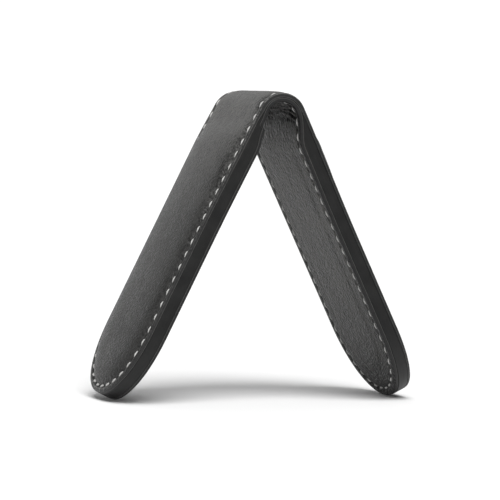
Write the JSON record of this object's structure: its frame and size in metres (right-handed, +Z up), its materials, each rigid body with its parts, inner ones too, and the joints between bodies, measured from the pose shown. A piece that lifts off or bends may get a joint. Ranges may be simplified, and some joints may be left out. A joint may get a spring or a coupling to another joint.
{
  "type": "money clip",
  "caption": "Folded leather money clip with magnets in its legs and a stitched edge, standing open like a small tent on rounded tips; it folds closed over notes.",
  "frame": {"origin": "on the surface the clip stands on, midway between the two leg tips and midway across the width", "axes": "+Z up through the fold, +X from the tip whose outer face is in view towards the other tip, +Y across the width, along the fold"},
  "size_m": [0.0902, 0.038, 0.0854],
  "materials": {
    "outer_leather": "smooth full-grain black leather with fine creases, satin",
    "lining_leather": "pebbled black lining leather, low satin",
    "core_board": "leatherboard with painted black edge, smooth satin",
    "foam": "thin closed-cell foam, matte",
    "stay": "thin woven tape, matte",
    "thread": "light grey twisted polyester thread",
    "keeper_steel": "cold-rolled mild steel sheet",
    "magnet_nickel": "nickel-plated sintered magnet"
  },
  "bodies": {
    "fold": {"outer_leather_fold": "outer_leather", "lining_fold": "lining_leather", "fold_stay": "stay", "outer_thread_fold_front": "thread", "outer_thread_fold_back": "thread", "lining_thread_fold_front": "thread", "lining_thread_fold_back": "thread"},
    "left_leg": {"outer_leather_left": "outer_leather", "foam_pad_left": "foam", "core_board_left": "core_board", "keeper_plate_left": "keeper_steel", "lining_left": "lining_leather", "outer_thread_left": "thread", "lining_thread_left": "thread", "magnet_left_upper": "magnet_nickel", "magnet_left_lower": "magnet_nickel"},
    "right_leg": {"outer_leather_right": "outer_leather", "foam_pad_right": "foam", "core_board_right": "core_board", "keeper_plate_right": "keeper_steel", "lining_right": "lining_leather", "outer_thread_right": "thread", "lining_thread_right": "thread", "magnet_right_upper": "magnet_nickel", "magnet_right_lower": "magnet_nickel"}
  },
  "joints": [
    {"name": "left_bend", "type": "hinge", "parent": "fold", "child": "left_leg", "pos_m": [-0.00353, 0, 0.08266], "axis": [0, 1, 0], "range_deg": [-26, 63.8]},
    {"name": "right_bend", "type": "hinge", "parent": "fold", "child": "right_leg", "pos_m": [0.00353, 0, 0.08266], "axis": [0, -1, 0], "range_deg": [-26, 63.8]}
  ],
  "couplings": [
    {"joint": "right_bend", "follows": "left_bend", "ratio": 1}
  ]
}
